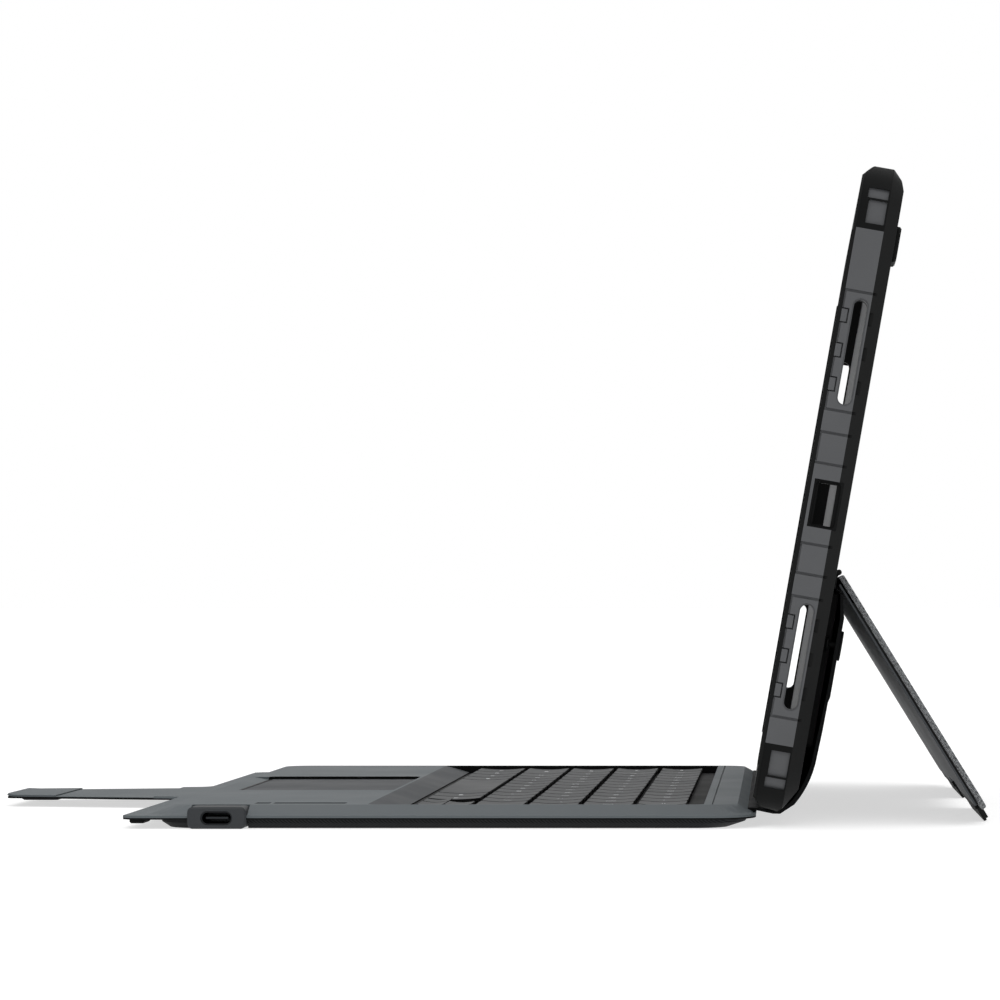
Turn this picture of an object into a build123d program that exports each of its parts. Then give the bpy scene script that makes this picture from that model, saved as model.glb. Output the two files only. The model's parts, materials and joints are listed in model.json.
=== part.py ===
from build123d import *
from math import cos, radians, sin
import os

os.makedirs("parts", exist_ok=True)

# Tablet keyboard case, open on a table as for typing.
# Millimetres. +X is the user's right, +Y is away from the user, +Z is up.
# The origin is the middle of the keyboard's flat underside, on the table.

# ---- keyboard base -------------------------------------------------------------
flange_x = 128.0            # half width of the thin flange round the keyboard
flange_front = -93.1
flange_rear = 93.2
rear_corner = 13.0
tray_top = 2.7              # top of the fabric covered tray
skin_top = 3.2              # top of the lower skin
flange_top = 3.9
deck_top = 6.7
deck_x = 120.4              # half width of the raised deck's flat top
deck_front = -80.0
deck_rear = 87.8

# ---- keys ------------------------------------------------------------------------
key_pitch = 16.9
key_gap = 1.5
key_bottom = 4.95
key_top = 5.9
key_dish = 0.5              # how far the middle of a cap is hollowed
row_rear = [72.9, 56.7, 40.4, 24.1, 8.0]   # rear boundary of each row
keys_front = -9.8
keys_x = -7 * key_pitch     # left end of every row
well_x = 119.4
well_front = -22.0
well_floor_front = -13.5
well_rear = 77.8
well_floor = 4.3
plate_top = 3.7
membrane_top = 4.0

# ---- trackpad ----------------------------------------------------------------------
pad_x = 42.0
pad_front = -75.0
pad_rear = -23.0
pad_surface = 5.8

# ---- charging port on the right side ---------------------------------------------
port_y = -65.0
port_z = 3.25
port_width = 17.2
port_inner_x = 113.0
port_step_x = 119.6
port_outer_x = 129.3

# ---- closing flap at the front -----------------------------------------------------
flap_root_x = 27.5          # half width where the flap leaves the flange
flap_taper = 0.18           # half width lost per millimetre towards the tip
flap_flare = 6.0            # radius that joins the flap's root to the flange
flap_low = 2.7
flap_high = 3.5
flap_root_end = -102.2
flap_rise_y = -102.8        # first fold line
flap_wrap_y = -121.3        # second fold line
fold_gap = 0.4
flap_tip_y = -152.5

# ---- tablet shell: u runs to the back, v runs up the shell -------------------------
tilt = 10.0                 # the shell leans back by this angle
shell_y = 91.4
shell_z = 5.9
shell_x = 131.0
shell_v = 193.6
shell_corner = 14.0
bezel_u = 1.2               # black front bezel, seen from the side
pocket_front_u = 3.0
pocket_rear_u = 9.0
frame_u = 9.4               # rear edge of the grey side frame
back_u = 13.2
pocket_x = 124.3
pocket_low = 6.6
pocket_high = 185.1
pocket_corner = 12.0
liner_wall = 3.0
view_x = 121.3              # half width of the screen opening
view_low = 9.1
view_high = 182.6
bumper_skin = 0.8
bumper_low = 20.4           # the corner bumpers end here, up the sides
bumper_high = 173.7
bumper_x = 113.4
side_grooves = [154.9, 119.5, 112.7, 103.6, 79.7, 70.8, 63.95, 28.2]
set_back_panels = [(119.9, 154.5), (104.1, 112.2), (71.3, 79.2), (28.6, 63.6)]
speaker_slots = [137.15, 46.45]
speaker_length = 31.1
speaker_width = 4.0
speaker_u = 6.5
clip_places = [147.4, 137.1, 127.0, 56.3, 46.2, 36.0]
dock_v = 91.8               # middle of the opening over the tablet's own port
dock_u = 6.3
camera_x = -107.5
camera_v = 170.4
camera_half = 8.0

# ---- folio back plate and kickstand --------------------------------------------------
folio_x = 112.0
core_x = 101.0
stud_x = 106.5
stud_v = 51.5
hinge_u = 14.1
hinge_v = 73.2
hinge_y = shell_y + hinge_u * cos(radians(tilt)) + hinge_v * sin(radians(tilt))
hinge_z = shell_z - hinge_u * sin(radians(tilt)) + hinge_v * cos(radians(tilt))
barrel_radius = 0.85
pin_radius = 0.4
stand_angle = 58.3          # the open kickstand's slope below horizontal
stand_start = 1.2
stand_end = 83.0
stand_inner = -2.1          # faces of the kickstand's layers, outward from the hinge axis
stand_liner = -1.5
stand_core = -0.9
stand_outer = 0.8
foot_inner = -1.8
foot_end = (hinge_z + foot_inner * cos(radians(stand_angle))) / sin(radians(stand_angle))

back_dir = (0, cos(radians(tilt)), -sin(radians(tilt)))
front_dir = (0, -cos(radians(tilt)), sin(radians(tilt)))
shell_origin = (0, shell_y, shell_z)
down_stand = (0, cos(radians(stand_angle)), -sin(radians(stand_angle)))
out_of_stand = (0, sin(radians(stand_angle)), cos(radians(stand_angle)))


def face_plane(u):
    """Plane across the shell at depth u: x is X, y is v, and its normal points forward."""
    return Plane(origin=shell_origin, x_dir=(1, 0, 0), z_dir=front_dir).offset(-u)


def side_plane(x=0.0):
    """Plane along the shell's side: x is u, y is v, and its normal is +X."""
    return Plane(origin=(x, shell_y, shell_z), x_dir=back_dir, z_dir=(1, 0, 0))


def stand_plane(q):
    """Plane in the kickstand panel: x runs from hinge to foot, y is -X, normal outward."""
    return Plane(origin=(0, hinge_y, hinge_z), x_dir=down_stand, z_dir=out_of_stand).offset(q)


def write(piece, name):
    """Label a finished piece and write its STEP file."""
    piece.part.label = name
    export_step(piece.part, f"parts/{name}.step")


# ==== keyboard body ====================================================================

# Fabric covered tray: flat underside, sloped ends, hollow for the control board.
tray_x = 126.0
board_cavity = (200.0, 120.0)
with BuildPart() as base_tray:
    with BuildSketch(Plane.XY):
        with Locations((0, 2.0)):
            RectangleRounded(2 * tray_x - 4, 166, 10)
    with BuildSketch(Plane.XY.offset(1.6)):
        with Locations((0, 3.25)):
            RectangleRounded(2 * tray_x - 0.6, 173.5, 12)
    with BuildSketch(Plane.XY.offset(tray_top)):
        with Locations((0, 3.5)):
            RectangleRounded(2 * tray_x, 174.8, 12.5)
    loft(ruled=True)
    with BuildSketch(Plane.XY.offset(tray_top)):
        with Locations((0, 8)):
            RectangleRounded(*board_cavity, 4)
    extrude(amount=-1.9, mode=Mode.SUBTRACT)
    with BuildSketch(Plane.XY):
        with Locations((port_inner_x + 20, port_y)):
            Rectangle(40, port_width)
    extrude(amount=tray_top, mode=Mode.SUBTRACT)
write(base_tray, "base_tray")


def flap_half(y):
    """Half width of the closing flap at a given Y."""
    return flap_root_x - flap_taper * (flap_root_end - y)


def flange_outline():
    """Outline of the flange, with the root of the closing flap in front."""
    fillet_y = flange_front - flap_flare
    neck_x = flap_half(fillet_y)
    flare_x = neck_x + flap_flare
    mid_x = flare_x - flap_flare * cos(radians(45))
    mid_y = fillet_y + flap_flare * sin(radians(45))
    with BuildLine() as edge:
        Polyline((-flange_x, flange_front + 2.5), (-flange_x + 2.5, flange_front), (-flare_x, flange_front))
        ThreePointArc((-flare_x, flange_front), (-mid_x, mid_y), (-neck_x, fillet_y))
        Polyline((-neck_x, fillet_y), (-flap_root_x, flap_root_end), (flap_root_x, flap_root_end),
                 (neck_x, fillet_y))
        ThreePointArc((neck_x, fillet_y), (mid_x, mid_y), (flare_x, flange_front))
        Polyline((flare_x, flange_front), (flange_x - 2.5, flange_front), (flange_x, flange_front + 2.5))
        Line((flange_x, flange_front + 2.5), (flange_x, flange_rear - rear_corner))
        RadiusArc((flange_x, flange_rear - rear_corner), (flange_x - rear_corner, flange_rear), -rear_corner)
        Line((flange_x - rear_corner, flange_rear), (-flange_x + rear_corner, flange_rear))
        RadiusArc((-flange_x + rear_corner, flange_rear), (-flange_x, flange_rear - rear_corner), -rear_corner)
        Line((-flange_x, flange_rear - rear_corner), (-flange_x, flange_front + 2.5))
    return edge.edges()


# Lower skin: the black sheet that closes the deck from below and runs out under the flange.
with BuildPart() as lower_skin:
    with BuildSketch(Plane.XY.offset(tray_top)):
        make_face(flange_outline())
        with Locations((port_inner_x + 20, port_y)):
            Rectangle(40, port_width, mode=Mode.SUBTRACT)
    extrude(amount=skin_top - tray_top)
write(lower_skin, "lower_skin")

# Grey deck: flange, sloped rim, key well, trackpad window and two cavities for the cells.
cell_size = (56.0, 42.0)
cell_place = (78.0, -49.0)
slit_x = 112.0
slit_width = 5.5
slit_spans = [(-56.0, -51.6), (-50.6, -29.0)]
with BuildPart() as deck_frame:
    with BuildSketch(Plane.XY.offset(skin_top)):
        make_face(flange_outline())
    extrude(amount=flange_top - skin_top)
    with BuildSketch(Plane.XY.offset(flange_top)):
        with Locations((0, 2.8)):
            RectangleRounded(254, 179.6, 11)
    with BuildSketch(Plane.XY.offset(deck_top)):
        with Locations((0, (deck_front + deck_rear) / 2)):
            RectangleRounded(2 * deck_x, deck_rear - deck_front, 8)
    loft(ruled=True)
    # key well, open through the deck over the key plate
    with BuildSketch(Plane.XY.offset(deck_top)):
        with Locations((0, (well_front + well_rear) / 2)):
            RectangleRounded(2 * well_x, well_rear - well_front, 2.5)
    extrude(amount=well_floor - deck_top, mode=Mode.SUBTRACT)
    with BuildSketch(Plane.XY.offset(well_floor)):
        with Locations((0, (well_floor_front + well_rear) / 2)):
            Rectangle(2 * well_x, well_rear - well_floor_front)
    extrude(amount=skin_top - well_floor, mode=Mode.SUBTRACT)
    # ramp from the palm rest down to the keys
    with BuildSketch(Plane.YZ):
        with BuildLine():
            Polyline((well_front, well_floor), (well_floor_front, well_floor),
                     (well_front, deck_top), close=True)
        make_face()
    extrude(amount=well_x, both=True)
    # trackpad window and the slope in front of it
    with BuildSketch(Plane.XY.offset(deck_top)):
        with Locations((0, (pad_front + pad_rear) / 2)):
            RectangleRounded(2 * pad_x, pad_rear - pad_front, 3)
    extrude(amount=skin_top - deck_top, mode=Mode.SUBTRACT)
    with BuildSketch(Plane.YZ):
        with BuildLine():
            Polyline((deck_front, deck_top), (pad_front, pad_surface),
                     (pad_front, deck_top), close=True)
        make_face()
    extrude(amount=pad_x - 3, both=True, mode=Mode.SUBTRACT)
    # cavities for the cells, open below
    with BuildSketch(Plane.XY.offset(skin_top)):
        with Locations((-cell_place[0], cell_place[1]), cell_place):
            Rectangle(cell_size[0] + 1, cell_size[1] + 1)
    extrude(amount=2.3, mode=Mode.SUBTRACT)
    # room for the charging port: full height outside, under the deck inside
    with BuildSketch(Plane.XY.offset(skin_top)):
        with Locations((port_step_x + 10, port_y)):
            Rectangle(20, port_width)
    extrude(amount=4, mode=Mode.SUBTRACT)
    with BuildSketch(Plane.XY.offset(skin_top)):
        with Locations(((port_inner_x + port_step_x) / 2, port_y)):
            Rectangle(port_step_x - port_inner_x, port_width)
    extrude(amount=2.3, mode=Mode.SUBTRACT)
    # light slit on the right palm rest, and a thin line behind the key well
    with BuildSketch(Plane.XY.offset(deck_top)):
        for start, end in slit_spans:
            with Locations((slit_x, (start + end) / 2)):
                Rectangle(slit_width, end - start)
        with Locations((0, 80.4)):
            Rectangle(2 * well_x, 0.5)
    extrude(amount=-0.5, mode=Mode.SUBTRACT)
write(deck_frame, "deck_frame")

# Light window: two strips of smoked plastic set in the slit.
with BuildPart() as status_light_window:
    with BuildSketch(Plane.XY.offset(deck_top - 0.5)):
        for start, end in slit_spans:
            with Locations((slit_x, (start + end) / 2)):
                Rectangle(slit_width, end - start)
    extrude(amount=0.35)
write(status_light_window, "status_light_window")

# Steel key plate and the switch membrane on it.
plate_middle = (well_floor_front + well_rear) / 2
plate_depth = well_rear - well_floor_front - 0.2
with BuildPart() as key_plate:
    with BuildSketch(Plane.XY.offset(skin_top)):
        with Locations((0, plate_middle)):
            Rectangle(2 * well_x - 0.2, plate_depth)
    extrude(amount=plate_top - skin_top)
write(key_plate, "key_plate")

with BuildPart() as key_membrane:
    with BuildSketch(Plane.XY.offset(plate_top)):
        with Locations((0, plate_middle)):
            Rectangle(2 * well_x - 0.6, plate_depth - 0.4)
    extrude(amount=membrane_top - plate_top)
write(key_membrane, "key_membrane")

# Two flat lithium cells under the palm rest.
with BuildPart() as battery_cells:
    with BuildSketch(Plane.XY.offset(skin_top)):
        with Locations((-cell_place[0], cell_place[1]), cell_place):
            RectangleRounded(*cell_size, 1.5)
    extrude(amount=2.1)
write(battery_cells, "battery_cells")

# Control board in the tray: board, chips and the module that talks to the tablet.
with BuildPart() as control_board:
    with BuildSketch(Plane.XY.offset(0.8)):
        with Locations((40, -20)):
            RectangleRounded(110, 44, 2)
    extrude(amount=0.8)
    with BuildSketch(Plane.XY.offset(1.6)):
        with Locations((20, -15), (38, -28), (75, -18)):
            Rectangle(9, 9)
        with Locations((54, -8)):
            Rectangle(16, 11)
    extrude(amount=0.9)
write(control_board, "control_board")

# Charging port: a moulded housing that stands proud of the flange, and its socket.
socket_width = 8.5
socket_height = 3.3
tongue_x = 119.0
with BuildPart() as charge_port_housing:
    with BuildSketch(Plane.YZ.offset(port_step_x)):
        with Locations((port_y, 3.3)):
            RectangleRounded(port_width, 6.4, 1.6)
    extrude(amount=port_outer_x - port_step_x)
    chamfer(charge_port_housing.faces().sort_by(Axis.X)[-1].edges(), length=0.5)
    with BuildSketch(Plane.YZ.offset(port_inner_x)):
        with Locations((port_y, 3.2)):
            Rectangle(port_width, 4.6)
    extrude(amount=port_step_x - port_inner_x)
    with BuildSketch(Plane.YZ.offset(port_outer_x)):
        with Locations((port_y, port_z)):
            RectangleRounded(socket_width + 0.8, socket_height + 0.8, (socket_height + 0.7) / 2)
    extrude(amount=-(port_outer_x - port_inner_x - 1), mode=Mode.SUBTRACT)
write(charge_port_housing, "charge_port_housing")

with BuildPart() as charge_port_socket:
    with BuildSketch(Plane.YZ.offset(port_inner_x + 1)):
        with Locations((port_y, port_z)):
            RectangleRounded(socket_width + 0.7, socket_height + 0.7, (socket_height + 0.6) / 2)
    extrude(amount=port_outer_x - port_inner_x - 1.4)
    with BuildSketch(Plane.YZ.offset(port_outer_x)):
        with Locations((port_y, port_z)):
            RectangleRounded(socket_width, socket_height, (socket_height - 0.1) / 2)
    extrude(amount=-(port_outer_x - tongue_x), mode=Mode.SUBTRACT)
    with BuildSketch(Plane.YZ.offset(tongue_x)):
        with Locations((port_y, port_z)):
            Rectangle(6.7, 0.7)
    extrude(amount=port_outer_x - tongue_x - 1.5)
write(charge_port_socket, "charge_port_socket")

# Trackpad tray, let into the deck.
with BuildPart() as trackpad_tray:
    with BuildSketch(Plane.XY.offset(skin_top)):
        with Locations((0, (pad_front + pad_rear) / 2)):
            RectangleRounded(2 * pad_x, pad_rear - pad_front, 3)
    extrude(amount=pad_surface - skin_top)
    with BuildSketch(Plane.XY.offset(pad_surface)):
        with Locations((0, (pad_front + pad_rear) / 2)):
            RectangleRounded(2 * pad_x - 1.6, pad_rear - pad_front - 1.6, 2.4)
    extrude(amount=4.2 - pad_surface, mode=Mode.SUBTRACT)
write(trackpad_tray, "trackpad_tray")

# Magnet pads under the flange's front corners.
with BuildPart() as corner_magnet_pads:
    with BuildSketch(Plane.XY.offset(1.5)):
        with Locations((-120.5, -89.0), (120.5, -89.0)):
            RectangleRounded(11, 4.6, 1.4)
    extrude(amount=tray_top - 1.5)
    chamfer(corner_magnet_pads.faces().group_by(Axis.Z)[0].edges(), length=0.4)
write(corner_magnet_pads, "corner_magnet_pads")

# Spine strap: the flexible sheet from the deck's rear slope to the folio back.
strap_x = 112.0
with BuildPart() as spine_strap:
    with BuildSketch(Plane.YZ):
        with BuildLine():
            Polyline((91.36, 4.67), (93.3, 4.6), (98.04, 3.52), (98.14, 4.22),
                     (93.3, 5.3), (90.16, 5.37), close=True)
        make_face()
    extrude(amount=strap_x, both=True)
write(spine_strap, "spine_strap")

# ==== trackpad body ====================================================================

with BuildPart() as trackpad_plate:
    with BuildSketch(Plane.XY.offset(4.85)):
        with Locations((0, (pad_front + pad_rear) / 2)):
            RectangleRounded(2 * pad_x - 2.4, pad_rear - pad_front - 2.4, 2)
    extrude(amount=pad_surface - 4.85)
    fillet(trackpad_plate.faces().sort_by(Axis.Z)[-1].edges(), radius=0.2)
write(trackpad_plate, "trackpad_plate")

# ==== keys =============================================================================

key_corner = 1.3


def key_caps(name, spans, front, rear):
    """One node of key caps in a row: spans are (left end, right end) in key units."""
    middle = (front + rear) / 2
    depth = rear - front - key_gap
    reach = depth / 2 + 0.1
    radius = (reach ** 2 + key_dish ** 2) / (2 * key_dish)
    with BuildPart() as caps:
        for left, right in spans:
            centre = keys_x + key_pitch * (left + right) / 2
            width = key_pitch * (right - left) - key_gap
            with BuildSketch(Plane.XY.offset(key_bottom)):
                with Locations((centre, middle)):
                    RectangleRounded(width, depth, key_corner)
            extrude(amount=key_top - key_bottom)
        top_edges = caps.faces().group_by(Axis.Z)[-1].edges()
        chamfer(top_edges, length=0.18)
        with BuildSketch(Plane.YZ.offset(keys_x)):
            with Locations((middle, key_top - key_dish + radius)):
                Circle(radius)
        extrude(amount=14 * key_pitch, mode=Mode.SUBTRACT)
    write(caps, name)


row_front = row_rear[1:] + [keys_front]
rows = list(zip(row_front, row_rear))
half_line = (rows[4][0] + rows[4][1]) / 2
arrow_gap = 0.1
key_nodes = {
    "number_row_keys": ([(n, n + 1) for n in range(14)], *rows[0]),
    "tab_key": ([(0, 1.25)], *rows[1]),
    "upper_letter_keys": ([(1.25 + n, 2.25 + n) for n in range(12)], *rows[1]),
    "backslash_key": ([(13.25, 14)], *rows[1]),
    "caps_key": ([(0, 1.5)], *rows[2]),
    "home_letter_keys": ([(1.5 + n, 2.5 + n) for n in range(11)], *rows[2]),
    "enter_key": ([(12.5, 14)], *rows[2]),
    "left_shift_key": ([(0, 2)], *rows[3]),
    "lower_letter_keys": ([(2 + n, 3 + n) for n in range(10)], *rows[3]),
    "right_shift_key": ([(12, 14)], *rows[3]),
    "left_modifier_keys": ([(1.1 * n, 1.1 * n + 1.1) for n in range(4)], *rows[4]),
    "space_bar": ([(4.4, 9.25)], *rows[4]),
    "right_modifier_keys": ([(9.25, 10.25), (10.25, 11.25)], *rows[4]),
    "side_arrow_keys": ([(11.25, 12.1), (13.15, 14)], rows[4][0], half_line + key_gap / 2 - arrow_gap),
    "down_arrow_key": ([(12.1, 13.15)], rows[4][0], half_line + key_gap / 2 - arrow_gap),
    "up_arrow_key": ([(12.1, 13.15)], half_line - key_gap / 2 + arrow_gap, rows[4][1]),
}
for node_name, (spans, front, rear) in key_nodes.items():
    key_caps(node_name, spans, front, rear)

# ==== closing flap =====================================================================


def flap_layer(near, far, low, high, inset=0.0, corner=0.0):
    """Flat layer of the flap between two Y values; the corner value cuts its far corners off."""
    with BuildSketch(Plane.XY.offset(low)) as layer:
        with BuildLine():
            Polyline((inset - flap_half(near), near), (inset - flap_half(far), far),
                     (flap_half(far) - inset, far), (flap_half(near) - inset, near), close=True)
        make_face()
        if corner:
            chamfer(layer.vertices().sort_by(Axis.Y)[:2], length=corner)
    extrude(layer.sketch, amount=high - low)


fold_inset = 0.2
with BuildPart() as flap_root_fold:
    flap_layer(flap_root_end - 0.02, flap_rise_y - fold_gap + 0.02, flap_low + 0.1, flap_high - 0.1, fold_inset)
write(flap_root_fold, "flap_root_fold")

with BuildPart() as flap_riser:
    flap_layer(flap_rise_y - fold_gap, flap_wrap_y + fold_gap, flap_low, flap_high)
write(flap_riser, "flap_riser")

with BuildPart() as flap_tip_fold:
    flap_layer(flap_wrap_y + fold_gap - 0.02, flap_wrap_y - fold_gap + 0.02,
               flap_low + 0.1, flap_high - 0.1, fold_inset)
write(flap_tip_fold, "flap_tip_fold")

tab_start = -135.3
with BuildPart() as flap_tip:
    flap_layer(flap_wrap_y - fold_gap, flap_tip_y, flap_low, flap_high, corner=4.0)
    flap_layer(tab_start, flap_tip_y + 0.4, flap_high, flap_high + 0.4, inset=0.3, corner=4.0)
write(flap_tip, "flap_tip")

magnet_y = -141.4
magnet_size = (34.0, 13.2)
with BuildPart() as flap_magnet:
    with BuildSketch(Plane.XY.offset(flap_low)):
        with Locations((0, magnet_y)):
            RectangleRounded(*magnet_size, 2)
    with BuildSketch(Plane.XY.offset(flap_low - 0.7)):
        with Locations((0, magnet_y)):
            RectangleRounded(magnet_size[0] - 2, magnet_size[1] - 2, 1.5)
    loft(ruled=True)
write(flap_magnet, "flap_magnet")

# ==== tablet shell =====================================================================


def shell_rectangle(half, low, high, corner):
    """Rounded rectangle in a face plane, from low to high along v."""
    with Locations((0, (low + high) / 2)):
        RectangleRounded(2 * half, high - low, corner)


def shell_profile():
    """Cut the piece to the shell's side profile: chamfered edges, and a face set back at the corners."""
    with BuildSketch(side_plane()) as profile:
        with BuildLine():
            Polyline((-1, 13.4), (0.3, 13.4), (0.3, 3.9), (2.9, 0.9), (8.2, 0.2), (9.6, 1.6),
                     (back_u, 8.0), (back_u, 186.9), (12.2, 190.1), (9.2, shell_v), (3.6, shell_v),
                     (0.3, 189.4), (0.3, 172.4), (-1, 172.4), close=True)
        make_face()
    extrude(profile.sketch, amount=shell_x, both=True, mode=Mode.INTERSECT)


def side_box(x_from, x_to, u_from, u_to, v_from, v_to, mode=Mode.SUBTRACT):
    """Box on the shell, between two X, two u and two v values."""
    with BuildSketch(side_plane(x_from)) as end_face:
        with Locations(((u_from + u_to) / 2, (v_from + v_to) / 2)):
            Rectangle(u_to - u_from, v_to - v_from)
    extrude(end_face.sketch, amount=x_to - x_from, mode=mode)


# Front bezel: the black lip that holds the tablet in, with its raised edge line.
with BuildPart() as front_bezel:
    with BuildSketch(face_plane(0)):
        shell_rectangle(shell_x - 0.3, 0.3, shell_v - 0.3, shell_corner)
    extrude(amount=-bezel_u)
    with BuildSketch(face_plane(bezel_u)):
        shell_rectangle(pocket_x + liner_wall, pocket_low - liner_wall, pocket_high + liner_wall,
                        pocket_corner + liner_wall)
    extrude(amount=-(pocket_front_u - bezel_u))
    shell_profile()
    with BuildSketch(face_plane(0)):
        shell_rectangle(view_x, view_low, view_high, 10)
    extrude(amount=-pocket_front_u, mode=Mode.SUBTRACT)
write(front_bezel, "front_bezel")

# Side frame: the grey ring with grooves, speaker slots, clip windows and button slots.
volume_buttons = {"volume_up_button": -100.0, "volume_down_button": -84.0}
button_length = 12.0
button_u = (4.8, 8.2)
power_v = 158.0
with BuildPart() as side_frame:
    with BuildSketch(face_plane(bezel_u)):
        shell_rectangle(shell_x, 0, shell_v, shell_corner)
        with Locations((0, (pocket_low + pocket_high) / 2)):
            RectangleRounded(2 * (pocket_x + liner_wall), pocket_high - pocket_low + 2 * liner_wall,
                             pocket_corner + liner_wall, mode=Mode.SUBTRACT)
    extrude(amount=-(frame_u - bezel_u))
    shell_profile()
    # the corners step in under the bumpers
    with BuildSketch(face_plane(bezel_u)):
        shell_rectangle(shell_x + 1, -1, shell_v + 1, shell_corner + 1)
        with Locations((0, shell_v / 2)):
            RectangleRounded(2 * (shell_x - bumper_skin), shell_v - 2 * bumper_skin,
                             shell_corner - bumper_skin, mode=Mode.SUBTRACT)
            Rectangle(2 * shell_x + 4, bumper_high - bumper_low, mode=Mode.SUBTRACT)
            Rectangle(2 * bumper_x, shell_v + 4, mode=Mode.SUBTRACT)
    extrude(amount=-(frame_u - bezel_u), mode=Mode.SUBTRACT)
    for side in (-1, 1):
        x_out = side * (shell_x + 1)
        x_groove = side * (shell_x - 0.7)
        for v in side_grooves:
            side_box(x_groove, x_out, bezel_u, frame_u, v - 0.4, v + 0.4)
        for low, high in set_back_panels:
            side_box(x_groove, x_out, bezel_u, bezel_u + 0.5, low, high)
        for v in clip_places:
            side_box(side * (shell_x - 1.4), x_out, bezel_u, 3.4, v - 2.25, v + 2.25)
        for v in speaker_slots:
            with BuildSketch(side_plane(side * (pocket_x + 1))):
                with Locations((speaker_u, v)):
                    SlotOverall(speaker_length, speaker_width, rotation=90)
            extrude(amount=side * 10, mode=Mode.SUBTRACT)
            with BuildSketch(side_plane(side * (shell_x - 0.5))):
                with Locations((speaker_u, v)):
                    SlotOverall(speaker_length + 0.8, speaker_width + 0.8, rotation=90)
            extrude(amount=side * 2, mode=Mode.SUBTRACT)
    for x in (-96, -62, -20, 20, 62, 96):
        for low, high in ((-1, 0.9), (shell_v - 0.7, shell_v + 1)):
            side_box(x - 0.4, x + 0.4, bezel_u, frame_u, low, high)
    side_box(pocket_x, shell_x + 1, 2.1, frame_u, dock_v - 7.1, dock_v + 7.1)
    for x in volume_buttons.values():
        side_box(x - button_length / 2 - 0.3, x + button_length / 2 + 0.3,
                 button_u[0] - 0.3, button_u[1] + 0.3, shell_v - 3.4, shell_v + 1)
    side_box(-shell_x - 1, -shell_x + 3.4, button_u[0] - 0.3, button_u[1] + 0.3,
             power_v - button_length / 2 - 0.3, power_v + button_length / 2 + 0.3)
write(side_frame, "side_frame")

# Corner bumpers: thin black skins round the corners, with windows to the grey frame.
corner_windows = [(3.5, 175.2, 182.1), (3.0, 182.7, 185.8), (3.4, 10.9, 18.3), (3.0, 7.2, 10.3)]
with BuildPart() as corner_bumpers:
    with BuildSketch(face_plane(bezel_u)):
        shell_rectangle(shell_x, 0, shell_v, shell_corner)
        with Locations((0, shell_v / 2)):
            RectangleRounded(2 * (shell_x - bumper_skin), shell_v - 2 * bumper_skin,
                             shell_corner - bumper_skin, mode=Mode.SUBTRACT)
            Rectangle(2 * shell_x + 4, bumper_high - bumper_low, mode=Mode.SUBTRACT)
            Rectangle(2 * bumper_x, shell_v + 4, mode=Mode.SUBTRACT)
    extrude(amount=-(frame_u - bezel_u))
    shell_profile()
    for side in (-1, 1):
        for u_from, low, high in corner_windows:
            side_box(side * 122, side * (shell_x + 1), u_from, frame_u - 0.4, low, high)
write(corner_bumpers, "corner_bumpers")

# Bezel clips: the small tongues that lock the bezel into the side frame.
with BuildPart() as bezel_clips:
    for side in (-1, 1):
        for v in clip_places:
            side_box(side * (shell_x - 1.4), side * (shell_x - 0.1), bezel_u, 3.05,
                     v - 1.9, v + 1.9, mode=Mode.ADD)
write(bezel_clips, "bezel_clips")

# Soft liner ring that the tablet sits in, open at the speakers and the port.
with BuildPart() as tablet_liner:
    with BuildSketch(face_plane(pocket_front_u)):
        shell_rectangle(pocket_x + liner_wall, pocket_low - liner_wall, pocket_high + liner_wall,
                        pocket_corner + liner_wall)
        with Locations((0, (pocket_low + pocket_high) / 2)):
            RectangleRounded(2 * pocket_x, pocket_high - pocket_low, pocket_corner, mode=Mode.SUBTRACT)
    extrude(amount=-(frame_u - pocket_front_u))
    for side in (-1, 1):
        for v in speaker_slots:
            with BuildSketch(side_plane(side * (pocket_x - 1))):
                with Locations((speaker_u, v)):
                    SlotOverall(speaker_length, speaker_width, rotation=90)
            extrude(amount=side * 6, mode=Mode.SUBTRACT)
    side_box(pocket_x - 1, shell_x, 3.5, 8.9, dock_v - 6.2, dock_v + 6.2)
write(tablet_liner, "tablet_liner")

# Surround of the opening over the tablet's port: a stepped funnel.
with BuildPart() as dock_surround:
    with BuildSketch(side_plane(pocket_x + liner_wall)):
        with Locations((6.45, dock_v)):
            Rectangle(8.7, 14.2)
    extrude(amount=3.1)
    with BuildSketch(side_plane(shell_x - 0.6)):
        with Locations((dock_u - 0.1, dock_v)):
            Rectangle(5.4, 12.4)
    extrude(amount=-4, mode=Mode.SUBTRACT)
    with BuildSketch(side_plane(shell_x)):
        with Locations((6.4, dock_v)):
            RectangleRounded(7.4, 13.4, 1.2)
    extrude(amount=-1.6, mode=Mode.SUBTRACT)
write(dock_surround, "dock_surround")

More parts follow.
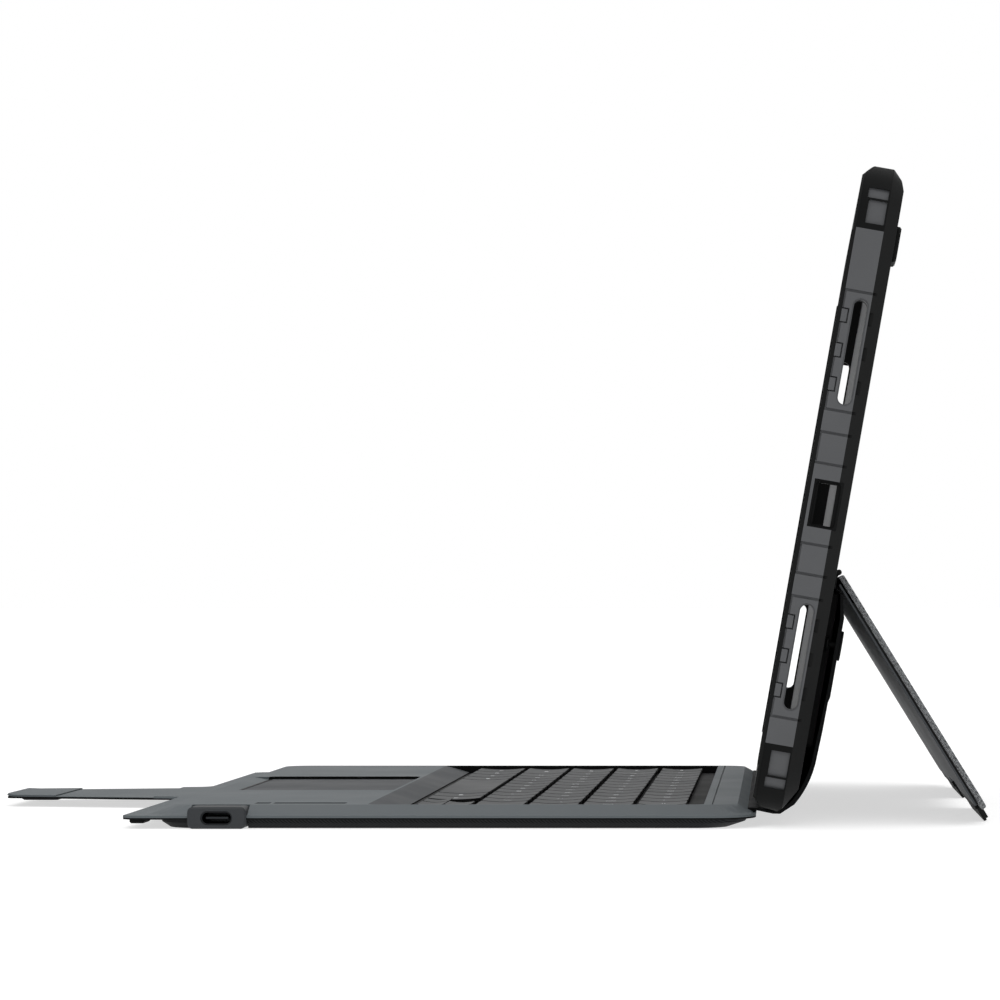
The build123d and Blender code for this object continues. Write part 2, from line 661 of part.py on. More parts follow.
# Back shell: the black rear panel with chamfered sides, ribs and the camera opening.
with BuildPart() as back_shell:
    with BuildSketch(face_plane(frame_u)):
        shell_rectangle(shell_x, 0, shell_v, shell_corner)
    with BuildSketch(face_plane(back_u)):
        shell_rectangle(shell_x - 3.6, 3.0, shell_v - 3.0, shell_corner - 3)
    loft(ruled=True)
    shell_profile()
    # dished inside face and a shallow raised field on the back
    with BuildSketch(face_plane(frame_u)):
        shell_rectangle(112, 18, 174, 10)
    extrude(amount=-1.6, mode=Mode.SUBTRACT)
    with BuildSketch(face_plane(frame_u)):
        with Locations((camera_x, camera_v)):
            RectangleRounded(2 * camera_half, 2 * camera_half, 5)
    extrude(amount=-6, mode=Mode.SUBTRACT)
    with BuildSketch(face_plane(back_u)):
        with Locations((camera_x, camera_v)):
            RectangleRounded(2 * camera_half + 2.4, 2 * camera_half + 2.4, 6)
    extrude(amount=1.2, mode=Mode.SUBTRACT)
    side_box(pocket_x + liner_wall, shell_x + 1, frame_u, 10.8, dock_v - 7.1, dock_v + 7.1)
    for side in (-1, 1):
        for v in clip_places:
            side_box(side * (shell_x - 1.2), side * (shell_x + 1), frame_u, back_u + 1, v - 2, v + 2)
        for v in side_grooves:
            side_box(side * (shell_x - 1.2), side * (shell_x + 1), frame_u, back_u + 1, v - 0.4, v + 0.4)
write(back_shell, "back_shell")

# Microfibre sheet on the inside of the back shell.
with BuildPart() as back_liner:
    with BuildSketch(face_plane(pocket_rear_u)):
        shell_rectangle(pocket_x, pocket_low, pocket_high, pocket_corner)
        with Locations((camera_x, camera_v)):
            RectangleRounded(2 * camera_half, 2 * camera_half, 5, mode=Mode.SUBTRACT)
    extrude(amount=-(frame_u - pocket_rear_u))
write(back_liner, "back_liner")

# Raised guard ring round the camera opening.
with BuildPart() as camera_guard_ring:
    with BuildSketch(face_plane(back_u - 1.2)):
        with Locations((camera_x, camera_v)):
            RectangleRounded(2 * camera_half + 2.4, 2 * camera_half + 2.4, 6)
            RectangleRounded(2 * camera_half, 2 * camera_half, 5, mode=Mode.SUBTRACT)
    extrude(amount=-2.2)
    chamfer(camera_guard_ring.faces().sort_by(Axis((0, 0, 0), back_dir))[-1].edges(), length=0.4)
write(camera_guard_ring, "camera_guard_ring")

# Rest pad on the back's upper corner, level with the camera opening.
with BuildPart() as rear_rest_pad:
    with BuildSketch(face_plane(back_u)):
        with Locations((116.5, 171.2)):
            RectangleRounded(18, 10.5, 2)
    extrude(amount=-1.3)
    chamfer(rear_rest_pad.faces().sort_by(Axis((0, 0, 0), back_dir))[-1].edges(), length=0.5)
write(rear_rest_pad, "rear_rest_pad")

# Push buttons of the shell: two for volume on the top edge, one for power on the left.
for button_name, x in volume_buttons.items():
    with BuildPart() as volume_button:
        with BuildSketch(side_plane(x - button_length / 2)):
            with Locations(((button_u[0] + button_u[1]) / 2, shell_v - 0.9)):
                Rectangle(button_u[1] - button_u[0], 3.0)
        extrude(amount=button_length)
        fillet(volume_button.edges().filter_by(Axis((0, 0, 0), back_dir)), radius=0.9)
    write(volume_button, button_name)

with BuildPart() as power_button:
    side_box(-shell_x - 0.6, -shell_x + 2.4, button_u[0], button_u[1],
             power_v - button_length / 2, power_v + button_length / 2, mode=Mode.ADD)
    fillet(power_button.edges().filter_by(Axis((0, 0, 0), back_dir)), radius=0.9)
write(power_button, "power_button")

# ==== folio back =======================================================================

# Cover of the folio back: it curves under the shell and carries the strap.
with BuildPart() as folio_cover:
    with BuildSketch(side_plane()):
        with BuildLine():
            Polyline((7.0, -1.2), (9.3, -0.85), (13.0, 2.6))
            ThreePointArc((13.0, 2.6), (15.8, 8.9), (17.1, 15.6))
            Polyline((17.1, 15.6), (17.5, 26.0), (17.6, 34.4), (18.0, 36.0), (18.0, 60.0),
                     (16.2, 67.0), (15.6, 67.0), (16.8, 60.0), (16.8, 36.5), (16.3, 26.0), (15.9, 15.8))
            ThreePointArc((15.9, 15.8), (14.6, 9.4), (12.0, 3.4))
            Polyline((12.0, 3.4), (8.9, -0.1), (7.0, -0.45), (7.0, -1.2))
        make_face()
    extrude(amount=folio_x, both=True)
    with BuildSketch(face_plane(0)):
        with Locations((-stud_x, stud_v), (stud_x, stud_v)):
            Circle(1.2)
    extrude(amount=-20, mode=Mode.SUBTRACT)
write(folio_cover, "folio_cover")

# Core plate of the folio back, between the shell and the cover, with ribbed edges.
with BuildPart() as folio_core_plate:
    with BuildSketch(face_plane(13.4)):
        shell_rectangle(core_x, 19.0, 68.2, 2)
    extrude(amount=-2.0)
    with BuildSketch(face_plane(15.0)):
        with Locations((0, 40)):
            with GridLocations(24, 10, 8, 3):
                RectangleRounded(20, 7, 1.5)
    extrude(amount=-0.8, mode=Mode.SUBTRACT)
    # rebate along the top edge, which the kickstand's liner swings past
    with BuildSketch(face_plane(14.4)):
        with Locations((0, 67.9)):
            Rectangle(2 * core_x, 0.6)
    extrude(amount=-1.0, mode=Mode.SUBTRACT)
write(folio_core_plate, "folio_core_plate")

# Snap studs that hold the folio back to the shell.
with BuildPart() as snap_studs:
    for depth, thickness, radius in ((back_u, 0.8, 1.6), (14.0, 0.8, 2.3), (14.8, 3.2, 0.9), (18.0, 0.8, 4.5)):
        with BuildSketch(face_plane(depth)):
            with Locations((-stud_x, stud_v), (stud_x, stud_v)):
                Circle(radius)
        extrude(amount=-thickness)
write(snap_studs, "snap_studs")

# Hinge of the kickstand: knuckles on the core plate and one long steel pin.
shell_knuckles = [-105.0, -52.0, 0.0, 52.0, 105.0]
shell_knuckle_length = 12.0
stand_knuckles = [-77.0, -26.0, 26.0, 77.0]
stand_knuckle_length = 34.0
with BuildPart() as hinge_knuckles:
    for x in shell_knuckles:
        with BuildSketch(side_plane(x - shell_knuckle_length / 2)):
            with Locations((hinge_u, hinge_v)):
                Circle(barrel_radius)
            with Locations((13.6, 70.7)):
                Rectangle(0.7, 5.0)
            with Locations((hinge_u, hinge_v)):
                Circle(pin_radius, mode=Mode.SUBTRACT)
        extrude(amount=shell_knuckle_length)
write(hinge_knuckles, "hinge_knuckles")

with BuildPart() as hinge_pin:
    with BuildSketch(side_plane(-folio_x + 1)):
        with Locations((hinge_u, hinge_v)):
            Circle(pin_radius)
    extrude(amount=2 * folio_x - 2)
write(hinge_pin, "hinge_pin")

# ==== kickstand ========================================================================


def stand_outline(start, end, half, cut, notch_depth):
    """Outline of a kickstand layer: cut corners at the foot and a finger notch between."""
    with BuildLine() as edge:
        Polyline(
            (start, -half), (end - cut, -half), (end, -half + cut), (end, -27),
            (end - notch_depth, -23), (end - notch_depth, 23), (end, 27),
            (end, half - cut), (end - cut, half), (start, half), close=True,
        )
    return edge.edges()


leaf_start = 2.3
leaf_end = 10.0
liner_start = 3.2           # clear of the knuckles at the steepest setting
panel_end = 80.9
with BuildPart() as kickstand_fabric:
    with BuildSketch(stand_plane(stand_core)):
        make_face(stand_outline(stand_start, stand_end, folio_x, 3.0, 6.0))
    extrude(amount=stand_outer - stand_core)
    fillet(kickstand_fabric.faces().sort_by(Axis((0, 0, 0), out_of_stand))[-1].edges(), radius=0.7)
write(kickstand_fabric, "kickstand_fabric")

with BuildPart() as kickstand_core:
    with BuildSketch(stand_plane(stand_liner)):
        make_face(stand_outline(leaf_end, panel_end, folio_x - 0.6, 2.0, 3.0))
    extrude(amount=stand_core - stand_liner)
write(kickstand_core, "kickstand_core")

with BuildPart() as kickstand_liner:
    with BuildSketch(stand_plane(stand_inner)):
        make_face(stand_outline(liner_start, panel_end, folio_x - 0.2, 2.0, 3.0))
    extrude(amount=stand_liner - stand_inner)
write(kickstand_liner, "kickstand_liner")

# Rubber feet along the bottom edge, either side of the finger notch.
with BuildPart() as kickstand_feet:
    for side in (-1, 1):
        with BuildSketch(Plane.XY) as outline:
            with BuildLine():
                Polyline((panel_end, side * 28), (foot_end, side * 28), (foot_end, side * 93),
                         (stand_end, side * 97), (panel_end, side * 97), close=True)
            make_face()
        extrude(stand_plane(stand_inner) * outline.sketch, amount=stand_core - stand_inner)
        with BuildSketch(stand_plane(stand_inner)):
            with Locations(((stand_end + foot_end) / 2, side * 62)):
                Rectangle(foot_end - stand_end, 80)
        extrude(amount=foot_inner - stand_inner, mode=Mode.SUBTRACT)
        with BuildSketch(stand_plane(stand_core)):
            with BuildLine():
                Polyline((stand_end + 0.05, side * 28), (foot_end - 0.5, side * 28),
                         (foot_end - 0.5, side * 93), (stand_end + 0.05, side * 97), close=True)
            make_face()
        extrude(amount=0.8)
write(kickstand_feet, "kickstand_feet")

# Steel leaf that joins the panel to the hinge pin.
with BuildPart() as kickstand_leaf:
    with BuildSketch(stand_plane(stand_liner)):
        with Locations(((leaf_start + leaf_end) / 2, 0)):
            Rectangle(leaf_end - leaf_start, 2 * core_x)
    extrude(amount=stand_core - stand_liner)
    for x in stand_knuckles:
        with BuildSketch(Plane(origin=(x - stand_knuckle_length / 2, hinge_y, hinge_z),
                               x_dir=down_stand, z_dir=(1, 0, 0))):
            Circle(barrel_radius)
            with BuildLine():
                Polyline((0, 0), (0, -0.8), (0.95, stand_liner), (leaf_start, stand_liner),
                         (leaf_start, stand_core), (1.15, stand_core), (0.8, -0.3), close=True)
            make_face()
        extrude(amount=stand_knuckle_length)
    with BuildSketch(Plane(origin=(-folio_x, hinge_y, hinge_z), x_dir=down_stand, z_dir=(1, 0, 0))):
        Circle(pin_radius + 0.1)
    extrude(amount=2 * folio_x, mode=Mode.SUBTRACT)
write(kickstand_leaf, "kickstand_leaf")
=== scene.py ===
import json
import math

import bmesh
import bpy
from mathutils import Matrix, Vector
from mathutils.bvhtree import BVHTree


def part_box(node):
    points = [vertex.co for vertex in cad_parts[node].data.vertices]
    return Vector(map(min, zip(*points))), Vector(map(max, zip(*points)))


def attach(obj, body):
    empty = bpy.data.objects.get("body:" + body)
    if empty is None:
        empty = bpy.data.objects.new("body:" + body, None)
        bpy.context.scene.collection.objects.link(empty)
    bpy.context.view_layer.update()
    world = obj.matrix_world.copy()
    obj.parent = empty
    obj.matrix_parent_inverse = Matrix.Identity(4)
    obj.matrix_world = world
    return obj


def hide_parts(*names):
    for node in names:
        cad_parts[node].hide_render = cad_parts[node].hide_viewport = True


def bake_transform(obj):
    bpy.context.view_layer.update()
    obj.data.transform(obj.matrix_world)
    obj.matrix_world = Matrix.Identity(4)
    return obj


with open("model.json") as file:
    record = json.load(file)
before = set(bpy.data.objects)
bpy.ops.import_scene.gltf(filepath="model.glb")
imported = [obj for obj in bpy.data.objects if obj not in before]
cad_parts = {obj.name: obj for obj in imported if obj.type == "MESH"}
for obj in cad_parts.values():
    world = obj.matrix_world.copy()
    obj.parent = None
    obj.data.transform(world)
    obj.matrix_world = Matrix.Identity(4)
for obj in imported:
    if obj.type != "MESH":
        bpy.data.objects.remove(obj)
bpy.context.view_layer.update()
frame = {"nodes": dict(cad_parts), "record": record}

mm = 0.001
print("frame loaded:", len(frame["nodes"]), "nodes")


studio = {
    "cameraPlace": (1.118, 0.100, 0.0662),   # level, square to the right side
    "lens": 121.36,
    "shift": (-0.27876, 0.10357),
    "floorColour": "#B8B8B8",
    "sensorWidth": 36,
    "nearClip": 0.01,
    "floorRoughness": 0.95,
    "floorSpecular": 0.1,
    "floorGlow": 0.62,        # keeps the shadow under the case faint
    "floorReach": 40.0,       # metres to each side
    "roomStrength": 0.30,
    # name: elevation and azimuth the light comes from, spread in degrees, strength
    "suns": {
        "overheadSoft": (84, 0, 100, 1.75),
        "rightSoft": (25, 0, 60, 0.7),
        "frontSoft": (30, -90, 60, 0.25),
        "rearSoft": (30, 90, 60, 0.35),
        "leftSoft": (30, 180, 60, 0.4),
    },
}


def toLinear(hexColour):
    # sRGB hex to the linear values that a shader takes
    parts = [int(hexColour[i:i + 2], 16) / 255 for i in (1, 3, 5)]
    return tuple(c / 12.92 if c <= 0.04045 else ((c + 0.055) / 1.055) ** 2.4 for c in parts) + (1.0,)


def addNode(tree, kind, inputs=None, **settings):
    # one node, with its settings, and its inputs as values or links
    node = tree.nodes.new(kind)
    for name, value in settings.items():
        setattr(node, name, value)
    for name, value in (inputs or {}).items():
        if isinstance(value, bpy.types.NodeSocket):
            tree.links.new(value, node.inputs[name])
        else:
            node.inputs[name].default_value = value
    return node


def buildStudio():
    scene = bpy.context.scene
    scene.view_settings.view_transform = "Standard"
    lens = bpy.data.cameras.new("sideCamera")
    lens.lens = studio["lens"]
    lens.sensor_width = studio["sensorWidth"]
    lens.shift_x, lens.shift_y = studio["shift"]
    lens.clip_start = studio["nearClip"]
    camera = bpy.data.objects.new("sideCamera", lens)
    camera.location = studio["cameraPlace"]
    camera.rotation_euler = (math.radians(90), 0, math.radians(90))
    scene.collection.objects.link(camera)
    scene.camera = camera

    # a white backdrop behind the case, and a dimmer room that lights it
    world = bpy.data.worlds.new("studioWorld")
    world.use_nodes = True
    scene.world = world
    tree = world.node_tree
    tree.nodes.clear()
    rays = addNode(tree, "ShaderNodeLightPath")
    room = addNode(tree, "ShaderNodeBackground", {"Strength": studio["roomStrength"]})
    backdrop = addNode(tree, "ShaderNodeBackground", {"Strength": 1.0})
    for light in (room, backdrop):
        light.inputs["Color"].default_value = (1.0, 1.0, 1.0, 1.0)
    both = addNode(tree, "ShaderNodeMixShader", {0: rays.outputs["Is Camera Ray"],
                                                 1: room.outputs[0], 2: backdrop.outputs[0]})
    addNode(tree, "ShaderNodeOutputWorld", {"Surface": both.outputs[0]})

    for name, (elevation, azimuth, spread, strength) in studio["suns"].items():
        lamp = bpy.data.lights.new(name, "SUN")
        lamp.angle = math.radians(spread)
        lamp.energy = strength
        holder = bpy.data.objects.new(name, lamp)
        up, turn = math.radians(elevation), math.radians(azimuth)
        level = math.cos(up)
        fromWhere = Vector((level * math.cos(turn), level * math.sin(turn), math.sin(up)))
        holder.rotation_euler = (-fromWhere).to_track_quat("-Z", "Y").to_euler()
        scene.collection.objects.link(holder)

    floorPaint = bpy.data.materials.new("mattFloorPaint")
    floorPaint.use_nodes = True
    paintShader = floorPaint.node_tree.nodes["Principled BSDF"]
    paintShader.inputs["Base Color"].default_value = toLinear(studio["floorColour"])
    paintShader.inputs["Roughness"].default_value = studio["floorRoughness"]
    paintShader.inputs["Specular IOR Level"].default_value = studio["floorSpecular"]
    paintShader.inputs["Emission Color"].default_value = (1.0, 1.0, 1.0, 1.0)
    paintShader.inputs["Emission Strength"].default_value = studio["floorGlow"]
    mesh = bpy.data.meshes.new("studioFloor")
    reach = studio["floorReach"]
    mesh.from_pydata([(-reach, -reach, 0), (reach, -reach, 0), (reach, reach, 0), (-reach, reach, 0)],
                     [], [(0, 1, 2, 3)])
    mesh.materials.append(floorPaint)
    floor = bpy.data.objects.new("studioFloor", mesh)
    scene.collection.objects.link(floor)


buildStudio()
print("studio built")


# colour and roughness of each finish, and its pattern's real size in mm
finishes = {
    "greySkin": {"colour": "#53595C", "roughness": 0.6, "gloss": 0.3, "grain": 0.5},
    # a darker skin, also used as painted shade on the deck's ramp and key-well floor
    "darkSkinAndPaintedShade": {"colour": "#35383B", "roughness": 0.62, "gloss": 0.3, "grain": 0.5},
    "blackSkin": {"colour": "#08090A", "roughness": 0.7, "gloss": 0.12, "grain": 0.5},
    "greyFrame": {"colour": "#4F5052", "roughness": 0.58, "gloss": 0.25, "grit": 0.35},
    "blackShell": {"colour": "#070808", "roughness": 0.5, "gloss": 0.14, "grit": 0.4},
    "blackRubber": {"colour": "#070808", "roughness": 0.66, "gloss": 0.12, "grit": 0.6},
    # grey that is painted sheen on the tops of black keys
    "keyTopSheen": {"colour": "#26292B", "roughness": 0.55, "gloss": 0.4, "grit": 0.3},
    "wallBlack": {"colour": "#060707", "roughness": 0.75, "gloss": 0.1, "grit": 0.3},
    "portHousing": {"colour": "#272A2D", "roughness": 0.55, "gloss": 0.35, "grit": 0.4},
    "trayTwill": {"colour": "#050606", "thread": "#2B2D2F", "spacing": 0.8, "fleck": 0.1},
    "standTwill": {"colour": "#0C0D0E", "thread": "#8C8E90", "spacing": 0.45, "fleck": 0.6},
    "microfibre": {"colour": "#232528", "nap": 0.3},
    "steel": {"colour": "#303234", "roughness": 0.45},
    "foil": {"colour": "#8C9093", "roughness": 0.35},
    "boardGreen": {"colour": "#12402A", "roughness": 0.4, "gloss": 0.5, "grit": 0.8},
    "legendInk": {"colour": "#D9DCDD"},
}


def startMaterial(name, colour, roughness, metallic=0.0):
    material = bpy.data.materials.new(name)
    material.use_nodes = True
    tree = material.node_tree
    shader = tree.nodes["Principled BSDF"]
    shader.inputs["Base Color"].default_value = toLinear(colour)
    shader.inputs["Roughness"].default_value = roughness
    shader.inputs["Metallic"].default_value = metallic
    return material, tree, shader


def varyColour(tree, shader, colour, amount, patchSize, where):
    # slow tone change over patches of patchSize mm
    cloud = addNode(tree, "ShaderNodeTexNoise",
                    {"Vector": where, "Scale": 1 / (patchSize * mm), "Detail": 3.0, "Roughness": 0.6})
    base = toLinear(colour)
    ramp = addNode(tree, "ShaderNodeValToRGB", {"Fac": cloud.outputs["Fac"]})
    for stop, share in zip(ramp.color_ramp.elements, (1 - amount, 1 + amount)):
        stop.color = tuple(min(1.0, c * share) for c in base[:3]) + (1.0,)
    ramp.color_ramp.elements[0].position = 0.3
    ramp.color_ramp.elements[1].position = 0.7
    tree.links.new(ramp.outputs["Color"], shader.inputs["Base Color"])
    return cloud.outputs["Fac"]


# tone and gloss change over patches of the given size in mm, and the grain's height in mm
coatedLook = {"toneShift": 0.05, "patch": 35, "bump": 0.2, "height": 0.05,
              "glossier": 0.05, "duller": 0.07}
mouldedLook = {"toneShift": 0.05, "patch": 25, "bump": 0.18, "height": 0.03,
               "glossier": 0.04, "duller": 0.06}


def coatedSkin(name, finish):
    # polyurethane coated fabric, roller embossed: soft satin with a fine leather grain
    material, tree, shader = startMaterial(name, finish["colour"], finish["roughness"])
    where = addNode(tree, "ShaderNodeTexCoord").outputs["Object"]
    look = coatedLook
    patches = varyColour(tree, shader, finish["colour"], look["toneShift"], look["patch"], where)
    grain = addNode(tree, "ShaderNodeTexVoronoi",
                    {"Vector": where, "Scale": 1 / (finish["grain"] * mm)}, feature="SMOOTH_F1")
    fine = addNode(tree, "ShaderNodeTexNoise",
                   {"Vector": where, "Scale": 4 / (finish["grain"] * mm), "Detail": 4.0})
    both = addNode(tree, "ShaderNodeMix", {0: 0.5, 2: grain.outputs["Distance"], 3: fine.outputs["Fac"]})
    bump = addNode(tree, "ShaderNodeBump", {"Height": both.outputs[0], "Strength": look["bump"],
                                            "Distance": look["height"] * mm})
    tree.links.new(bump.outputs["Normal"], shader.inputs["Normal"])
    gloss = addNode(tree, "ShaderNodeMapRange",
                    {"Value": patches, "From Min": 0.3, "From Max": 0.7,
                     "To Min": finish["roughness"] - look["glossier"],
                     "To Max": finish["roughness"] + look["duller"]})
    tree.links.new(gloss.outputs["Result"], shader.inputs["Roughness"])
    shader.inputs["Specular IOR Level"].default_value = finish["gloss"]
    return material


def mouldedPlastic(name, finish):
    # ABS, polycarbonate or TPU from a spark-eroded mould: even satin with a fine grit
    material, tree, shader = startMaterial(name, finish["colour"], finish["roughness"])
    where = addNode(tree, "ShaderNodeTexCoord").outputs["Object"]
    look = mouldedLook
    patches = varyColour(tree, shader, finish["colour"], look["toneShift"], look["patch"], where)
    grit = addNode(tree, "ShaderNodeTexNoise",
                   {"Vector": where, "Scale": 1 / (finish["grit"] * mm), "Detail": 5.0, "Roughness": 0.7})
    bump = addNode(tree, "ShaderNodeBump", {"Height": grit.outputs["Fac"], "Strength": look["bump"],
                                            "Distance": look["height"] * mm})
    tree.links.new(bump.outputs["Normal"], shader.inputs["Normal"])
    gloss = addNode(tree, "ShaderNodeMapRange",
                    {"Value": patches, "From Min": 0.3, "From Max": 0.7,
                     "To Min": finish["roughness"] - look["glossier"],
                     "To Max": finish["roughness"] + look["duller"]})
    tree.links.new(gloss.outputs["Result"], shader.inputs["Roughness"])
    shader.inputs["Specular IOR Level"].default_value = finish["gloss"]
    return material


# length of one band of a wave texture at scale 1, along its diagonal and along X
waveBand = {"diagonal": 0.444, "straight": 0.314}


def twill(name, finish):
    # polyester twill, woven and laminated: diagonal ribs with single lighter threads
    # real 0.3 mm threads are too fine to show, so the ribs are drawn at the spacing given
    material, tree, shader = startMaterial(name, finish["colour"], 0.88)
    where = addNode(tree, "ShaderNodeTexCoord").outputs["Object"]
    spacing = finish["spacing"] * mm
    ribs = addNode(tree, "ShaderNodeTexWave", {"Vector": where, "Scale": waveBand["diagonal"] / spacing,
                                               "Distortion": 0.5, "Detail": 1.0, "Detail Scale": 2.0},
                   wave_type="BANDS", bands_direction="DIAGONAL", wave_profile="SIN")
    threads = addNode(tree, "ShaderNodeTexWave", {"Vector": where, "Scale": waveBand["straight"] / spacing},
                      wave_type="BANDS", bands_direction="X", wave_profile="SIN")
    weave = addNode(tree, "ShaderNodeMath", {0: ribs.outputs["Fac"], 1: threads.outputs["Fac"]},
                    operation="MAXIMUM")
    fleck = addNode(tree, "ShaderNodeTexNoise", {"Vector": where, "Scale": 1 / spacing, "Detail": 2.0})
    flecked = addNode(tree, "ShaderNodeMapRange",
                      {"Value": fleck.outputs["Fac"], "From Min": 0.40, "From Max": 0.62})
    tone = addNode(tree, "ShaderNodeMix",
                   {0: finish["fleck"], 2: ribs.outputs["Fac"], 3: flecked.outputs["Result"]})
    mixed = addNode(tree, "ShaderNodeMix",
                    {"Factor": tone.outputs[0], 6: toLinear(finish["colour"]),
                     7: toLinear(finish["thread"])},
                    data_type="RGBA")
    tree.links.new(mixed.outputs[2], shader.inputs["Base Color"])
    bump = addNode(tree, "ShaderNodeBump", {"Height": weave.outputs["Value"], "Strength": 0.5,
                                            "Distance": 0.1 * mm})
    tree.links.new(bump.outputs["Normal"], shader.inputs["Normal"])
    shader.inputs["Specular IOR Level"].default_value = 0.2
    shader.inputs["Sheen Weight"].default_value = 0.05
    shader.inputs["Sheen Roughness"].default_value = 0.4
    return material


def brushedNap(name, finish):
    # polyester microfibre, sheared and brushed: dead matt with a soft pale edge
    material, tree, shader = startMaterial(name, finish["colour"], 0.95)
    where = addNode(tree, "ShaderNodeTexCoord").outputs["Object"]
    varyColour(tree, shader, finish["colour"], 0.12, 12, where)
    nap = addNode(tree, "ShaderNodeTexNoise",
                  {"Vector": where, "Scale": 1 / (finish["nap"] * mm), "Detail": 6.0, "Roughness": 0.8})
    bump = addNode(tree, "ShaderNodeBump", {"Height": nap.outputs["Fac"], "Strength": 0.5,
                                            "Distance": 0.1 * mm})
    tree.links.new(bump.outputs["Normal"], shader.inputs["Normal"])
    shader.inputs["Sheen Weight"].default_value = 0.2
    shader.inputs["Sheen Roughness"].default_value = 0.35
    return material


def streakedMetal(name, finish):
    # stainless steel or foil, rolled and linished: streaks along X that stretch its highlights
    material, tree, shader = startMaterial(name, finish["colour"], finish["roughness"], metallic=1.0)
    where = addNode(tree, "ShaderNodeTexCoord").outputs["Object"]
    stretched = addNode(tree, "ShaderNodeMapping", {"Vector": where, "Scale": (60.0, 4000.0, 4000.0)})
    streaks = addNode(tree, "ShaderNodeTexNoise",
                      {"Vector": stretched.outputs["Vector"], "Scale": 1.0, "Detail": 3.0})
    gloss = addNode(tree, "ShaderNodeMapRange",
                    {"Value": streaks.outputs["Fac"], "To Min": finish["roughness"] - 0.1,
                     "To Max": finish["roughness"] + 0.12})
    tree.links.new(gloss.outputs["Result"], shader.inputs["Roughness"])
    bump = addNode(tree, "ShaderNodeBump", {"Height": streaks.outputs["Fac"], "Strength": 0.1,
                                            "Distance": 0.02 * mm})
    tree.links.new(bump.outputs["Normal"], shader.inputs["Normal"])
    return material


def printedInk(name, finish):
    # laser-cut legend: pale, matt and a little uneven
    material, tree, shader = startMaterial(name, finish["colour"], 0.6)
    where = addNode(tree, "ShaderNodeTexCoord").outputs["Object"]
    varyColour(tree, shader, finish["colour"], 0.05, 2, where)
    return material


greySkin = coatedSkin("greyCoatedFabric", finishes["greySkin"])
# the darker skin doubles as painted shade on the deck's ramp and well floor
darkSkinAndPaintedShade = coatedSkin("darkGreyCoatedFabricAndPaintedShade", finishes["darkSkinAndPaintedShade"])
blackSkin = coatedSkin("blackCoatedFabric", finishes["blackSkin"])
greyFrame = mouldedPlastic("greyMouldedTpu", finishes["greyFrame"])
blackShell = mouldedPlastic("blackMouldedPolycarbonate", finishes["blackShell"])
blackRubber = mouldedPlastic("blackMouldedRubber", finishes["blackRubber"])
# the key tops' grey is painted sheen on black plastic
keyTopSheen = mouldedPlastic("blackAbsWithPaintedSheen", finishes["keyTopSheen"])
wallBlack = mouldedPlastic("blackMouldedAbs", finishes["wallBlack"])
portPlastic = mouldedPlastic("greyMouldedAbs", finishes["portHousing"])
boardGreen = mouldedPlastic("greenSolderMask", finishes["boardGreen"])
trayTwill = twill("blackPolyesterTwill", finishes["trayTwill"])
standTwill = twill("charcoalPolyesterTwill", finishes["standTwill"])
microfibre = brushedNap("brushedMicrofibre", finishes["microfibre"])
steel = streakedMetal("linishedStainlessSteel", finishes["steel"])
foil = streakedMetal("rolledAluminiumFoil", finishes["foil"])
blackSteel = mouldedPlastic("blackPowderCoatedSteel", finishes["blackShell"])
legendInk = printedInk("laserCutLegend", finishes["legendInk"])
print("materials made")


# node: finish, edge radius in mm
easedPieces = {
    "base_tray": (trayTwill, 0.5),
    "lower_skin": (blackSkin, 0.12),
    "deck_frame": (greySkin, 0.22),
    "charge_port_housing": (portPlastic, 0.3),
    "charge_port_socket": (steel, 0.1),
    "trackpad_tray": (blackShell, 0.1),
    "corner_magnet_pads": (blackRubber, 0.25),
    "trackpad_plate": (darkSkinAndPaintedShade, 0.08),
    "front_bezel": (blackShell, 0.25),
    "side_frame": (greyFrame, 0.25),
    "corner_bumpers": (blackRubber, 0.15),
    "bezel_clips": (greyFrame, 0.2),
    "dock_surround": (blackRubber, 0.2),
    "back_shell": (blackShell, 0.3),
    "tablet_liner": (blackRubber, 0.2),
    "camera_guard_ring": (blackShell, 0.2),
    "rear_rest_pad": (blackRubber, 0.3),
    "folio_cover": (blackSkin, 0.2),
    "folio_core_plate": (blackShell, 0.2),
    "snap_studs": (blackSteel, 0.25),
    "hinge_knuckles": (blackSteel, 0.08),
    "kickstand_fabric": (standTwill, 0.3),
    "kickstand_core": (blackShell, 0.08),
    "kickstand_liner": (darkSkinAndPaintedShade, 0.1),
    "kickstand_feet": (blackRubber, 0.25),
    "kickstand_leaf": (blackSteel, 0.08),
    "volume_up_button": (blackRubber, 0.3),
    "volume_down_button": (blackRubber, 0.3),
    "power_button": (blackRubber, 0.3),
    "flap_magnet": (blackSkin, 0.25),
}
plainPieces = {
    "status_light_window": wallBlack,
    "key_plate": wallBlack,
    "key_membrane": blackRubber,
    "battery_cells": foil,
    "control_board": boardGreen,
    "back_liner": microfibre,
    "hinge_pin": blackSteel,
}
keyNodes = [name for name in frame["nodes"] if name.endswith(("_keys", "_key"))] + ["space_bar"]
for name in keyNodes:
    easedPieces[name] = (keyTopSheen, 0.2)


edgeEasing = {
    "weldGap": 0.002,         # mm, joins the CAD mesh's doubled corners
    "flatAngle": 1.0,         # degrees, faces this level become one
    "sharpAngle": 28,         # edges sharper than this are rounded
    "smoothAngle": 40,        # edges sharper than this stay crisp after it
    "segments": 2,
    "inLine": 0.85,           # a neighbour this close to the edge's own line takes up no room
    "neighbourShare": 2.2,    # a rounding takes less than half of the next edge
    "mostRoom": 1.0,          # metres, for an edge with no neighbour
}


def bodyOf(node):
    # the body that holds a CAD node
    for body, nodes in frame["record"]["behaviour"]["bodies"].items():
        if node in nodes:
            return body


def setFinish(piece, *materials):
    piece.data.materials.clear()
    for material in materials:
        piece.data.materials.append(material)


def addPiece(name, mesh):
    piece = bpy.data.objects.new(name, mesh)
    bpy.context.scene.collection.objects.link(piece)
    return piece


